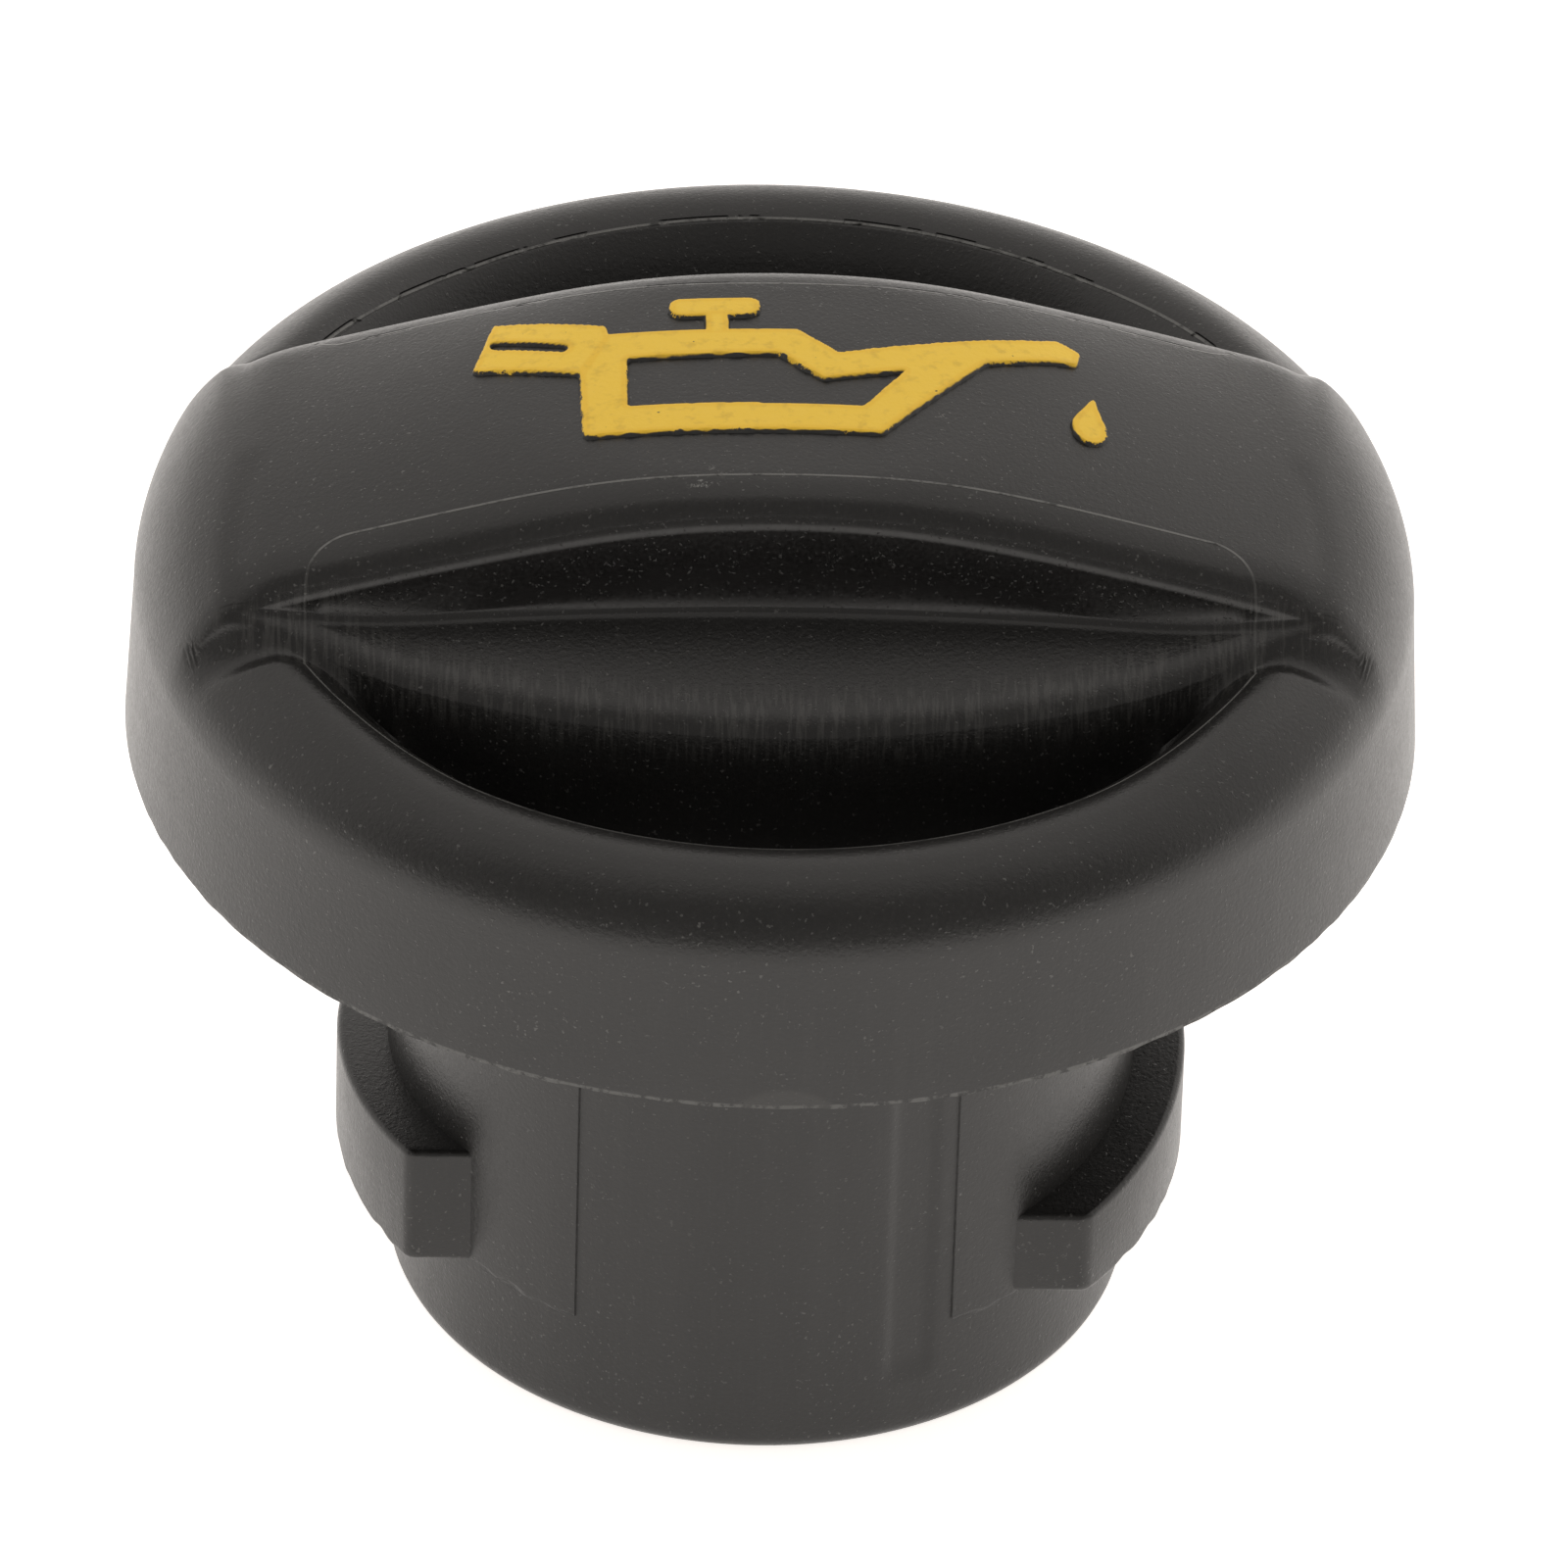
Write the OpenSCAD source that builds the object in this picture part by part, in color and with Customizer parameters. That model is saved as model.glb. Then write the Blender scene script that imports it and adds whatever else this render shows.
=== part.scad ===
// Oil filler cap: a round head with a bar grip between two crescent finger scoops,
// on a hollow neck with two bayonet lugs and a rubber ring under the head.
// The cap stands on the foot of its neck. The origin is the centre of the foot, +Z is up
// and the bar runs along X. Heights in [Head], [Bar] and [Shelf] start at the skirt's lower edge.

/* [Head] */
// Diameter of the head at the skirt's lower edge
head_d = 65; // [60:0.5:72]
// Draft of the skirt's outer wall, degrees
skirt_draft = 3; // [1:0.5:5]
// Wall of the skirt at its lower edge
skirt_wall = 2.3; // [1.8:0.1:3]
// Width of the rim, from the skirt's lower edge in to the scoops
rim_w = 6.1; // [5.4:0.1:7]
// Height of the rim's inner edge
rim_h = 12; // [11:0.1:12.4]
// Slope of the rim's top, falling outwards, degrees
rim_slope = 1; // [0:1:6]
// Rounding of the shoulder between the rim and the skirt
shoulder_r = 4; // [3:0.1:4.4]
// Rounding of the rim's inner edge
rim_edge_r = 1; // [0.5:0.1:1.5]
// Height of the scoops' floor
floor_h = 4.8; // [4.4:0.1:6]
// Rounding where a scoop's walls meet its floor
floor_fillet_r = 1.8; // [0.8:0.1:2.2]
// Lean of the scoops' walls, degrees
scoop_lean = 7; // [4:1:12]
// Plastic under the scoops' floor
floor_wall = 2.2; // [1.8:0.1:2.4]

/* [Bar] */
// Width of the bar between its flanks
bar_w = 20.8; // [18:0.2:22]
// Height of the bar at its middle
bar_h = 20.9; // [19:0.1:23]
// Radius of the bar's crown, seen from the side
crown_r = 80; // [65:1:110]
// Rounding of the bar's long edges
bar_edge_r = 2.2; // [1.4:0.1:3]
// Lean of the bar's flanks, degrees
flank_lean = 2; // [1:0.5:6]
// Height at which the top would meet the skirt's wall at the bar's ends
end_h = 14.2; // [13.6:0.1:15]
// Slope of the top where it turns down at the ends, degrees
end_slope = 17.5; // [16:0.5:20]
// Rounding of the bar's two ends
end_r = 9; // [7:0.2:10]
// Softening between the crown and the sloping ends
crown_blend = 0.6; // [0.3:0.1:1.2]
// Wall around the hollow inside the bar
bar_wall = 2.5; // [2:0.1:3]

/* [Shelf] */
// Width over both shelves, crest to crest at the middle
shelf_w = 36.2; // [34:0.2:38]
// Height of the shelf at its crest
crest_h = 12.5; // [12:0.1:13.5]
// Fall of the shelf towards its crest, degrees
shelf_fall = 9; // [0:1:12]
// Radius of the crest, seen from above
crest_plan_r = 47; // [44:1:52]
// Rounding of the crest
crest_r = 1.4; // [0.8:0.1:2]
// Hollow rounding between the flank and the shelf
flank_fillet_r = 2.4; // [1:0.1:3]
// Width that is left of each shelf where it runs out as a ridge beside the bar's end
ridge_w = 0.3; // [0.2:0.1:1]
// Softening where the crest's arc runs into that ridge
ridge_blend = 1.5; // [0.5:0.1:2.5]
// Distance from the middle at which the shelf starts to rise towards its ends
shelf_rise_from = 17; // [14:0.5:20]
// Radius on which it rises, seen from the side
shelf_rise_r = 36; // [30:1:60]
// Depth of the channel between that ridge and the rim
channel_t = 0.6; // [0.2:0.1:0.8]
// Width of the channel
channel_w = 2.6; // [2:0.1:3.2]
// Distances from the middle between which the channel runs out
channel_run = [24, 30]; // [20:0.5:31]

/* [Neck] */
// Diameter of the neck
neck_d = 37.8; // [34:0.2:40]
// Length of the neck below the skirt's lower edge
neck_drop = 32.7; // [28:0.1:40]
// Wall of the neck at its foot
neck_wall = 2.4; // [2.2:0.1:4.4]
// Draft of the neck above the lugs' underside, degrees
neck_draft = 0.2; // [0.1:0.1:0.4]
// Draft of the bore, degrees
bore_draft = 1.5; // [0.5:0.5:2]
// Rounding of the foot's outer edge
foot_r = 1; // [0.5:0.1:1.2]
// Plastic between the bore's end and the shelves
bore_roof = 2.4; // [2:0.1:3]
// Ledge between the bore and the hollow inside the bar
bore_step = 0.6; // [0.4:0.1:1]

/* [Pockets] */
// Height of the roof of the pockets under the bar's ends
pocket_h = 10.4; // [8:0.1:11]
// Rib between two pockets, and wall between them and the rubber ring's seat
pocket_rib = 1.8; // [1.4:0.1:2.4]

/* [Bayonet lugs] */
// How far a lug stands out from the neck
lug_reach = 2.75; // [1.5:0.1:3]
// Height of the lugs' underside above the foot
lug_base = 6.8; // [5:0.1:9]
// Height of a lug at its leading end
lug_lead_h = 4.9; // [3.5:0.1:6]
// Height of a lug at its trailing end
lug_trail_h = 6.9; // [5:0.1:9]
// Distance of a lug's leading face from the bar's centre plane
lug_lead = 14.2; // [12:0.1:15]
// Distance of a lug's trailing face from the bar's centre plane
lug_trail = 12; // [10:0.1:14]

/* [Slide marks] */
// How far the faces made by the mould's slides stand proud of the neck
slide_step = 0.15; // [0.1:0.05:0.3]
// Angle that each slide covers, degrees
slide_angle = 120; // [100:2:130]
// Width of the shallow groove beside each slide's face
groove_w = 2.3; // [1.5:0.1:3]
// Depth of that groove
groove_t = 0.2; // [0.1:0.05:0.4]
// Place of the groove round the neck, degrees from the bar
groove_at = 67; // [66:1:75]
// Height of the groove's lower end above the foot
groove_base = 3.6; // [2:0.1:6]

/* [Seal] */
// Radial width of the rubber ring
seal_w = 4.6; // [3:0.1:5]
// Thickness of the rubber ring
seal_t = 2.2; // [1.6:0.1:2.4]
// Rounding of the ring's edges
seal_edge_r = 0.5; // [0.3:0.1:0.7]
// Clearance between the ring and the neck
seal_fit = 0.05; // [0.05:0.05:0.2]

/* [Oil mark] */
// Length of the oil can mark, from its handle to its spout
can_l = 30.4; // [26:0.2:32]
// Clearance between the marks and the bar
mark_fit = 0.02; // [0.02:0.01:0.05]
// Height that the mark stands up from the bar
mark_rise = 0.3; // [0.2:0.05:0.5]

/* [Hidden] */
$fn = 96;
head_r = head_d / 2;
neck_r = neck_d / 2;
bore_r = neck_r - neck_wall;
rim_in_r = head_r - rim_w;
flank = bar_w / 2;
crest_off = crest_plan_r - shelf_w / 2;
cavity_h = floor_h - floor_wall;
neck_top = neck_drop + cavity_h + floor_wall / 2;
cut = 1;

function unit(v) = v / norm(v);
function corner_angle(a, b, c) = acos(unit(a - b) * unit(c - b));
function tangent_len(a, b, c, r) = r / tan(corner_angle(a, b, c) / 2);
function round_centre(a, b, c, r) =
    b + unit(unit(a - b) + unit(c - b)) * r / sin(corner_angle(a, b, c) / 2);

// The lower or higher of two heights, run together smoothly where they are within k of each other
function soft_min(a, b, k) = min(a, b) - pow(max(k - abs(a - b), 0), 2) / (4 * k);
function soft_max(a, b, k) = -soft_min(-a, -b, k);

// A sloping top that turns down into the skirt's wall with a true rounding.
// corner_h is the height where slope and wall would meet:
// [corner, slope, the rounding's centre, its two tangent radii, its radius]
function shoulder(corner_h, slope, r) =
    let (corner = [head_r - corner_h * tan(skirt_draft), corner_h],
         low = [head_r, 0],
         inner = corner + [-1, tan(slope)],
         t = tangent_len(low, corner, inner, r))
    [corner, slope, round_centre(low, corner, inner, r),
     (corner + unit(inner - corner) * t)[0], (corner + unit(low - corner) * t)[0], r];
function shoulder_at(s, r) =
    r < s[3] ? s[0][1] + (s[0][0] - r) * tan(s[1])
    : r < s[4] ? s[2][1] + sqrt(pow(s[5], 2) - pow(r - s[2][0], 2))
    : (head_r - r) / tan(skirt_draft);

rim_corner_h = (rim_h - rim_w * tan(rim_slope)) / (1 - tan(skirt_draft) * tan(rim_slope));
rim_shoulder = shoulder(rim_corner_h, rim_slope, shoulder_r);
end_shoulder = shoulder(end_h, end_slope, end_r);

// A rounded step between a lower and an upper face. q is the distance inside the upper face's edge.
// Where the step is too low for its roundings, they keep their width and it gets flatter.
function step(q, high, low, r_high, r_low, lean) =
    let (rise = max(high - low, 0),
         half = tan((90 - lean) / 2),
         top_reach = r_high * half,
         foot_reach = r_low * half,
         full = max(rise, (top_reach + foot_reach) * cos(lean)),
         foot = -full * tan(lean),
         z = q >= top_reach ? full
             : q >= -top_reach * sin(lean) ? full - r_high + sqrt(max(0, pow(r_high, 2) - pow(top_reach - q, 2)))
             : q >= foot + foot_reach * sin(lean) ? full + q / tan(lean)
             : q >= foot - foot_reach ? r_low - sqrt(max(0, pow(r_low, 2) - pow(q - foot + foot_reach, 2)))
             : 0)
    low + z * rise / full;

// The head's upper face, from the scoops' floor up: rim, shelves, bar. x and y are not negative.
channel_y = flank + ridge_w + channel_w / 2;
function channel(x, y) =
    let (across = min(1, abs(y - channel_y) * 2 / channel_w),
         along = min(1, max(0, (x - channel_run[0]) / (channel_run[1] - channel_run[0]))))
    channel_t * pow(1 - across * across, 2) * pow(1 - along * along, 2);
function rim_z(x, y, r) = step(r - rim_in_r, shoulder_at(rim_shoulder, r) - channel(x, y), floor_h,
    rim_edge_r, floor_fillet_r, scoop_lean);
function crest_z(x) = crest_h + shelf_rise_r - sqrt(pow(shelf_rise_r, 2) - pow(max(x - shelf_rise_from, 0), 2));
function crest_q(x, y) = soft_max(crest_plan_r - norm([x, y + crest_off]), flank + ridge_w - y, ridge_blend);
function shelf_z(x, y, r) =
    let (q = crest_q(x, y))
    step(q, min(crest_z(x) + max(q, 0) * tan(shelf_fall), shoulder_at(end_shoulder, r)), rim_z(x, y, r),
        crest_r, floor_fillet_r, scoop_lean);
function crown_z(x) = bar_h - crown_r + sqrt(pow(crown_r, 2) - x * x);
function head_z(x, y) =
    let (r = norm([x, y]))
    step(flank - y, soft_min(crown_z(x), shoulder_at(end_shoulder, r), crown_blend), shelf_z(x, y, r),
        bar_edge_r, flank_fillet_r, flank_lean);

// The head's skin is a grid. Inside net_r its columns run across the bar, and each row follows a line
// that the form turns on: the bar's edge, flank, crest, scoop and rim. Where the scoop has run out, its rows
// and the rim's share the space that is left. Outside net_r the rows are circles.
scoop_run = (crest_h - floor_h) * tan(scoop_lean);
function fillet_out(a) = scoop_run + floor_fillet_r * (1 - cos(a));
function edge_y(a) = flank - bar_edge_r * (tan((90 - flank_lean) / 2) - sin(a));
function root_y(a) = flank + (bar_h - crest_h) * tan(flank_lean) + flank_fillet_r * (1 - cos(a));
function crest_y(q, x) = max(
    sqrt(max(0, pow(crest_plan_r - q, 2) - x * x)) - crest_off, flank + ridge_w - q);
function circle_y(r, x) = sqrt(max(0, r * r - x * x));
function valley_y(x) = (crest_y(0, x) + max(circle_y(rim_in_r, x), crest_y(0, x) + channel_w)) / 2;
function beyond(x, share) = valley_y(x) + share * (circle_y(net_r, x) - valley_y(x));
function net_lines(x) = concat(
    [for (f = [0.33, 0.67]) edge_y(0) * f],
    [for (a = [0, 30, 60, 88]) edge_y(a)],
    [for (a = [0, 45, 90]) min(root_y(a), crest_y(crest_r, x))],
    [for (a = [0, 40, 80]) crest_y(crest_r * (1 - sin(a)), x)],
    [for (a = [0, 30, 60, 90]) min(crest_y(-fillet_out(a), x), valley_y(x))],
    [for (p = [[90, 0.05], [50, 0.1], [10, 0.15]])
        max(circle_y(rim_in_r - fillet_out(p[0]), x), beyond(x, p[1]))],
    [for (p = [[80, 0.2], [40, 0.26], [0, 0.32]])
        max(circle_y(rim_in_r + rim_edge_r * (1 - sin(p[0])), x), beyond(x, p[1]))],
    [for (p = [[5, 0.45], [22, 0.62], [38, 0.8]]) max(circle_y(on_shoulder(p[0]), x), beyond(x, p[1]))]);
// Radius of the point on the rim's shoulder where its rounding has turned by an angle
function on_shoulder(a) = rim_shoulder[2][0] + shoulder_r * sin(a);
net_r = on_shoulder(53);
min_gap = 0.08;

// The same distances, none past the limit and each at least min_gap from the one before it
function spaced(lines, limit, i = 0, last = 0) =
    i == len(lines) ? []
    : let (y = max(min(lines[i], limit - (len(lines) - i) * min_gap), last + min_gap))
      concat([y], spaced(lines, limit, i + 1, y));

// Angles of the columns' ends, closer together where the scoops run out
quarter = concat([for (a = [0 : 4 : 16]) a], [for (a = [20 : 2.5 : 47.5]) a], [for (a = [50 : 5 : 85]) a]);
half_turn = concat(quarter, [90], [for (i = [len(quarter) - 1 : -1 : 0]) 180 - quarter[i]]);
full_turn = concat(half_turn, [for (i = [1 : len(half_turn) - 2]) 180 + half_turn[i]]);
outer_r = concat([for (a = [66, 77, 86]) on_shoulder(a)], [head_r]);

module head() {
    n = len(half_turn) - 1;
    m = len(net_lines(0)) + 1;
    net = [for (i = [1 : n - 1])
        let (x = net_r * cos(half_turn[i]),
             y_end = net_r * sin(half_turn[i]),
             ys = concat([0], spaced(net_lines(abs(x)), y_end), [y_end]))
        each [for (j = [-m : m]) [x, sign(j) * ys[abs(j)], head_z(abs(x), ys[abs(j)])]]];
    rings = [for (r = outer_r, a = full_turn)
        let (x = r * cos(a), y = r * sin(a))
        [x, y, r == head_r ? 0 : head_z(abs(x), abs(y))]];
    poles = [for (side = [1, -1]) [side * net_r, 0, head_z(net_r, 0)]];
    vertex = function (i, j) i == 0 ? 0 : i == n ? 1 : 2 + (i - 1) * (2 * m + 1) + j + m;
    ring = function (k, t) k == 0 ? (t <= n ? vertex(t, m) : vertex(2 * n - t, -m))
        : 2 + len(net) + (k - 1) * 2 * n + t % (2 * n);
    // The two triangles of a square, split along either diagonal, or the one of a square that ends in a pole
    split = function (a, b, c, d, turned)
        a == b ? [[a, d, c]]
        : c == d ? [[a, c, b]]
        : turned ? [[a, d, b], [d, c, b]]
        : [[a, d, c], [a, c, b]];
    net_faces = [for (i = [0 : n - 1], j = [-m : m - 1])
        each split(vertex(i, j), vertex(i, j + 1), vertex(i + 1, j + 1), vertex(i + 1, j),
            (i < n / 2) != (j >= 0))];
    ring_faces = [for (k = [0 : len(outer_r) - 1], t = [0 : 2 * n - 1])
        each split(ring(k, t), ring(k + 1, t), ring(k + 1, t + 1), ring(k, t + 1), false)];
    polyhedron(concat(poles, net, rings),
        concat(net_faces, ring_faces, [[for (t = [0 : 2 * n - 1]) ring(len(outer_r), t)]]));
}

// Corner i of a closed list of corners
function at(corners, i) =
    let (c = corners[(i + len(corners)) % len(corners)])
    [c[0], c[1]];

// A closed outline, counter-clockwise, whose outer corners [x, y, r] are rounded to true arcs of radius r
module outline(corners) {
    steps = [for (i = [0 : len(corners) - 1])
        [at(corners, i - 1), at(corners, i), at(corners, i + 1), corners[i][2]]];
    polygon([for (s = steps) each s[3] > 0
        ? [s[1] + unit(s[0] - s[1]) * tangent_len(s[0], s[1], s[2], s[3]),
           s[1] + unit(s[2] - s[1]) * tangent_len(s[0], s[1], s[2], s[3])]
        : [s[1]]]);
    for (s = steps)
        if (s[3] > 0) translate(round_centre(s[0], s[1], s[2], s[3])) circle(s[3]);
}

// The round hollow between the neck and the skirt, where the filler neck's rim goes
module skirt_cavity() {
    inside_r = head_r - skirt_wall;
    rotate_extrude() polygon([
        [neck_r - cut, -cut],
        [inside_r + cut * tan(skirt_draft), -cut],
        [inside_r - cavity_h * tan(skirt_draft), cavity_h],
        [neck_r - cut, cavity_h]]);
}

// Pockets under the bar's ends, two at each, which keep the walls even
module end_pockets() {
    outer_r = head_r - skirt_wall - pocket_h * tan(skirt_draft);
    inner_r = neck_r + seal_w + pocket_rib;
    width = flank - bar_wall - pocket_rib / 2;
    intersection() {
        difference() {
            cylinder(r = outer_r, h = pocket_h);
            translate([0, 0, -cut]) cylinder(r = inner_r, h = pocket_h + 2 * cut);
        }
        for (side = [0, 180])
            rotate(side) translate([-head_r, pocket_rib / 2, cavity_h / 2]) cube([head_d, width, pocket_h]);
    }
}

// The bore, drafted from the foot up, and the slot above it that hollows the bar
module bore_hollow() {
    bore_top = neck_drop + crest_h - bore_roof;
    slot_w = bar_w - 2 * bar_wall;
    slot_r = bore_r - bore_top * tan(bore_draft) - bore_step;
    translate([0, 0, -cut])
        cylinder(r1 = bore_r + cut * tan(bore_draft), r2 = slot_r + bore_step, h = bore_top + cut);
    intersection() {
        translate([0, 0, bore_top - cut]) cylinder(r = slot_r, h = bar_h);
        translate([-head_r, -slot_w / 2, 0]) cube([head_d, slot_w, neck_drop + head_d]);
        translate([0, head_r, neck_drop + bar_h - crown_r])
            rotate([90, 0, 0]) cylinder(r = crown_r - bar_wall, h = head_d);
    }
}

// The neck's radius at a height above the foot: straight below the lugs' underside, drafted above it
function neck_at(z) = neck_r + max(z - lug_base, 0) * tan(neck_draft);

module neck() {
    rotate_extrude() outline([
        [0, 0, 0],
        [neck_r, 0, foot_r],
        [neck_r, lug_base, 0],
        [neck_at(neck_top), neck_top, 0],
        [0, neck_top, 0]]);
}

// A lug is part of a larger round, cut by two parallel end faces and a top that rises to its trailing end
module lug() {
    intersection() {
        cylinder(r = neck_r + lug_reach, h = neck_drop);
        rotate([90, 0, 90]) linear_extrude(head_r) polygon([
            [-lug_lead, lug_base],
            [lug_trail, lug_base],
            [lug_trail, lug_base + lug_trail_h],
            [-lug_lead, lug_base + lug_lead_h]]);
    }
}

// The face that a slide left on the neck, a little proud of it, over and beside a lug
module slide_face() {
    wide = head_d * [cos(slide_angle / 2), sin(slide_angle / 2)];
    translate([0, 0, lug_base]) intersection() {
        cylinder(r1 = neck_r + slide_step, r2 = neck_at(neck_top) + slide_step, h = neck_top - lug_base);
        linear_extrude(neck_drop) polygon([[0, 0], [wide[0], -wide[1]], wide]);
    }
}

module neck_groove() {
    rotate(-groove_at) translate([neck_r - groove_t, -groove_w / 2, groove_base])
        cube([cut, groove_w, neck_drop + cavity_h - groove_base]);
}

module cap_body() {
    color("#2b2b2a") difference() {
        union() {
            translate([0, 0, neck_drop]) difference() {
                head();
                union() {
                    skirt_cavity();
                    end_pockets();
                }
            }
            difference() {
                union() {
                    neck();
                    for (side = [0, 180]) rotate(side) {
                        lug();
                        slide_face();
                    }
                }
                for (side = [0, 180]) rotate(side) neck_groove();
            }
        }
        bore_hollow();
    }
}

module seal_ring() {
    inner_r = neck_at(neck_drop + cavity_h) + slide_step + seal_fit;
    color("#1d1d1f") translate([0, 0, neck_drop + cavity_h - seal_t]) rotate_extrude() outline([
        [inner_r, 0, seal_edge_r],
        [inner_r + seal_w, 0, seal_edge_r],
        [inner_r + seal_w, seal_t, 0],
        [inner_r, seal_t, 0]]);
}

// The bar's top as far as the skirt, raised by a height: the crown, cut off by the sloping ends
module bar_top(rise) {
    end_corner = end_shoulder[0];
    translate([0, 0, neck_drop]) intersection() {
        translate([0, head_r, bar_h - crown_r]) rotate([90, 0, 0]) cylinder(r = crown_r + rise, h = head_d);
        rotate_extrude() polygon([
            [0, floor_h],
            [end_corner[0], floor_h],
            [end_corner[0], end_corner[1] + rise],
            [0, end_corner[1] + end_corner[0] * tan(end_slope) + rise]]);
    }
}

// A flat outline, drawn in hundredths of the can's length, laid on the bar's top as a skin of even thickness
module on_bar() {
    difference() {
        intersection() {
            translate([0, 0, neck_drop + floor_h + cut]) linear_extrude(bar_h) scale(can_l / 100) children();
            bar_top(mark_fit + mark_rise);
        }
        bar_top(mark_fit);
    }
}

// A pump oil can seen from the side: handle with its slot, body with its window, button, long spout
module oil_can_mark() {
    color("#d8b13c") on_bar() {
        difference() {
            polygon([[-50.3, 6.6], [-33.6, 1.6], [-32.4, -15.3], [-30.8, -15.8], [16.4, -15.8], [33.9, 6.1],
                [45.1, 9.7], [49, 10], [49.7, 14.1], [46.1, 16.4], [40.8, 14.8], [9.7, 6.1],
                [3.1, 12.3], [-28.5, 12.5], [-28.5, 14.8], [-46.9, 20.1]]);
            polygon([[-47.4, 12.3], [-35, 8.2], [-34.5, 10.2], [-47.4, 14.6]]);
            polygon([[-25, 4.9], [-25, -8.2], [13.4, -8.7], [20.4, 1.9], [6.9, -1.6], [-0.3, 5.4]]);
        }
        translate([-12.1, 12.2]) square([3.9, 6.6]);
        for (x = [-15.5, -5.6]) translate([x, 19.1]) circle(2.6);
        translate([-15.5, 16.5]) square([9.9, 5.2]);
    }
}

module oil_drop_mark() {
    color("#d8b13c") on_bar() translate([50.7, -7.9]) {
        circle(3.1);
        polygon([[-3.1, 0.5], [3.1, 0.3], [0.8, 9.5]]);
    }
}

cap_body();
seal_ring();
oil_can_mark();
oil_drop_mark();
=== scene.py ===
import math

import bpy
import numpy as np
from mathutils import Matrix, Vector


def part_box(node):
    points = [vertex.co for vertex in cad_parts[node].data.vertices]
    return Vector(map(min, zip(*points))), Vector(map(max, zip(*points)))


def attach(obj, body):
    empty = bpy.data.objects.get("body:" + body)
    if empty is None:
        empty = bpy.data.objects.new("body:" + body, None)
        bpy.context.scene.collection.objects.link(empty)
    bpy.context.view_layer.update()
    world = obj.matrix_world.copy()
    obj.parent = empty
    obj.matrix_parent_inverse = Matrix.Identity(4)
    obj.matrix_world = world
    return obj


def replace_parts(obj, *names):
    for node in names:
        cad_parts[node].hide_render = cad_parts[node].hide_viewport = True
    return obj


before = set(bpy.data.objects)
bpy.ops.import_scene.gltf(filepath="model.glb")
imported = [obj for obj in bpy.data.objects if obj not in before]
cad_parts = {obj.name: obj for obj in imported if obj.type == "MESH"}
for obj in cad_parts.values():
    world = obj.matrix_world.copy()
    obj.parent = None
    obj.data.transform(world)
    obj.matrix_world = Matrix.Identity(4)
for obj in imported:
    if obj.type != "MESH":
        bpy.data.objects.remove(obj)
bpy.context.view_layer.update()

mm = 0.001
scene = bpy.context.scene
print("stage: frame loaded")


# What every shape uses

def tanDeg(angle):
    return math.tan(math.radians(angle))


def sinDeg(angle):
    return np.sin(np.radians(angle))


def cosDeg(angle):
    return np.cos(np.radians(angle))


def smooth(low, high, value):
    # 0 below low, 1 above high, an S-shaped ramp between them
    t = np.clip((value - low) / (high - low), 0, 1)
    return t * t * (3 - 2 * t)


def softMin(a, b, k):
    # the lower of two fields, run together smoothly where they are within k of each other
    return np.minimum(a, b) - np.maximum(k - np.abs(a - b), 0) ** 2 / (4 * k)


def softMax(a, b, k):
    return -softMin(-a, -b, k)


def waves(seed, count, lowest, highest, *coords):
    # a smooth random field: a sum of sine waves of random direction, phase and frequency
    rng = np.random.default_rng(seed)
    total = 0
    for _ in range(count):
        direction = rng.normal(size=len(coords))
        direction *= rng.uniform(lowest, highest) / np.linalg.norm(direction)
        phase = sum(d * c for d, c in zip(direction, coords)) + rng.uniform(0, 2 * math.pi)
        total = total + np.sin(phase)
    return total / math.sqrt(count / 2)


def makeMesh(name, points, faces, sharpAngle=38):
    # points in millimetres in the part's frame; faces are rows of corner numbers
    data = bpy.data.meshes.new(name)
    data.from_pydata((np.asarray(points) * mm).tolist(), [], faces)
    data.polygons.foreach_set("use_smooth", [True] * len(data.polygons))
    data.update()
    data.set_sharp_from_angle(angle=math.radians(sharpAngle))
    piece = bpy.data.objects.new(name, data)
    scene.collection.objects.link(piece)
    return piece


# The head: one height over the plan, made of rounded steps

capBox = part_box("cap_body")
headForm = {
    "radius": (capBox[1][0] - capBox[0][0]) / 2 / mm, "draft": 3, "skirtWall": 2.3,
    "rimWidth": 5.9, "rimHeight": 12, "rimSlope": 1, "shoulderRound": 4,
    "rimEdgeRound": 3, "rimLean": 30, "rimRound": 3, "rimRise": 0.8,
    "rimRiseRun": (15, 25), "rimRiseEnd": (31, 27),
    "floorHeight": 4.8, "floorRound": 1.8, "scoopLean": 7,
    "flank": 10.4, "barHeight": 20.9, "crownRadius": 80, "crossRadius": 160, "flankLean": 2,
    "barEdgeRound": 1, "fallFrom": 8.17, "fallRadius": 4, "fallRun": (31, 26),
    "endHeight": 14.2, "endSlope": 17.5, "endRound": 9, "crownBlend": 0.6,
    "shelfWidth": 36.2, "crestHeight": 12.5, "shelfFall": 12, "crestPlanRadius": 47, "crestRound": 1.4,
    "flankRound": 0.5, "tipRound": 0.5, "tipRun": (12, 22),
    "ridgeWidth": 0.3, "ridgeBlend": 1.5, "shelfRiseFrom": 17, "shelfRiseRadius": 36, "shelfBlend": 0.8,
    "channelDepth": 0.6, "channelWidth": 2.6, "channelRun": (24, 30),
    "netAngle": 53, "columns": 200, "rowGap": 0.025, "valleyShare": 0.33,
}
headBase = capBox[1][2] / mm - headForm["barHeight"]


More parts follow.
